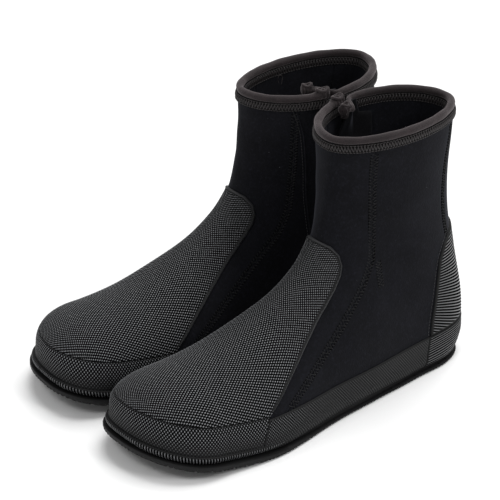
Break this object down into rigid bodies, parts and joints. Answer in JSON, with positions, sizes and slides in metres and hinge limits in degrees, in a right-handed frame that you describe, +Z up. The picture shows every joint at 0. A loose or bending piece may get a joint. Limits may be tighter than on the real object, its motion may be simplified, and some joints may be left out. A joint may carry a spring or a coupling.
{
  "type": "neoprene boots",
  "caption": "Pair of ankle-high neoprene dive boots with rubber toe, instep and heel guards, bound cuff and a side zip with slider and pull.",
  "frame": {"origin": "middle of the pair's footprint on the ground", "axes": "+Z up, toes towards -Y, the left boot at +X and the right boot at -X"},
  "size_m": [0.217, 0.3035, 0.2052],
  "materials": {
    "neoprene": "matt jersey-faced neoprene",
    "textured_rubber": "knurled, slightly shiny",
    "sole_rubber": "ribbed, satin",
    "binding_knit": "knit tape",
    "zip_tape": "woven",
    "zip_plastic": "moulded",
    "insole_foam": "foam with jersey face",
    "board": "pressed fibre board"
  },
  "bodies": {
    "left_boot": {"left_outsole": "sole_rubber", "left_foxing_strip": "sole_rubber", "left_lasting_board": "board", "left_footbed": "insole_foam", "left_front_panel": "neoprene", "left_lateral_quarter": "neoprene", "left_medial_quarter": "neoprene", "left_achilles_panel": "neoprene", "left_toe_bumper": "textured_rubber", "left_vamp_overlay": "textured_rubber", "left_lateral_rand": "textured_rubber", "left_medial_rand": "textured_rubber", "left_heel_rand": "textured_rubber", "left_heel_counter": "textured_rubber", "left_cuff_binding": "binding_knit", "left_zip_gusset": "neoprene", "left_zip_tape_front": "zip_tape", "left_zip_tape_rear": "zip_tape", "left_zip_chain_front": "zip_plastic", "left_zip_chain_rear": "zip_plastic", "left_zip_top_stop_front": "zip_plastic", "left_zip_top_stop_rear": "zip_plastic", "left_zip_bottom_stop": "zip_plastic"},
    "left_slider": {"left_zip_slider": "zip_plastic"},
    "left_pull": {"left_zip_pull": "zip_plastic"},
    "right_boot": {"right_outsole": "sole_rubber", "right_foxing_strip": "sole_rubber", "right_lasting_board": "board", "right_footbed": "insole_foam", "right_front_panel": "neoprene", "right_lateral_quarter": "neoprene", "right_medial_quarter": "neoprene", "right_achilles_panel": "neoprene", "right_toe_bumper": "textured_rubber", "right_vamp_overlay": "textured_rubber", "right_lateral_rand": "textured_rubber", "right_medial_rand": "textured_rubber", "right_heel_rand": "textured_rubber", "right_heel_counter": "textured_rubber", "right_cuff_binding": "binding_knit", "right_zip_gusset": "neoprene", "right_zip_tape_front": "zip_tape", "right_zip_tape_rear": "zip_tape", "right_zip_chain_front": "zip_plastic", "right_zip_chain_rear": "zip_plastic", "right_zip_top_stop_front": "zip_plastic", "right_zip_top_stop_rear": "zip_plastic", "right_zip_bottom_stop": "zip_plastic"},
    "right_slider": {"right_zip_slider": "zip_plastic"},
    "right_pull": {"right_zip_pull": "zip_plastic"}
  },
  "joints": [
    {"name": "left_zip_slide", "type": "slide", "parent": "left_boot", "child": "left_slider", "axis": [0.0655, 0.0253, -0.9975], "range_m": [0, 0.098]},
    {"name": "left_pull_hinge", "type": "hinge", "parent": "left_slider", "child": "left_pull", "pos_m": [0.00669, 0.07351, 0.18781], "axis": [-0.1656, 0.9861, 0.0141], "range_deg": [0, 15]},
    {"name": "right_boot_lift", "type": "slide", "parent": "left_boot", "child": "right_boot", "axis": [0, 0, 1], "range_m": [0, 0.3]},
    {"name": "right_zip_slide", "type": "slide", "parent": "right_boot", "child": "right_slider", "axis": [-0.0646, 0.0276, -0.9975], "range_m": [0, 0.098]},
    {"name": "right_pull_hinge", "type": "hinge", "parent": "right_slider", "child": "right_pull", "pos_m": [0.00108, 0.073, 0.18781], "axis": [-0.1999, -0.9797, -0.0141], "range_deg": [0, 15]}
  ]
}
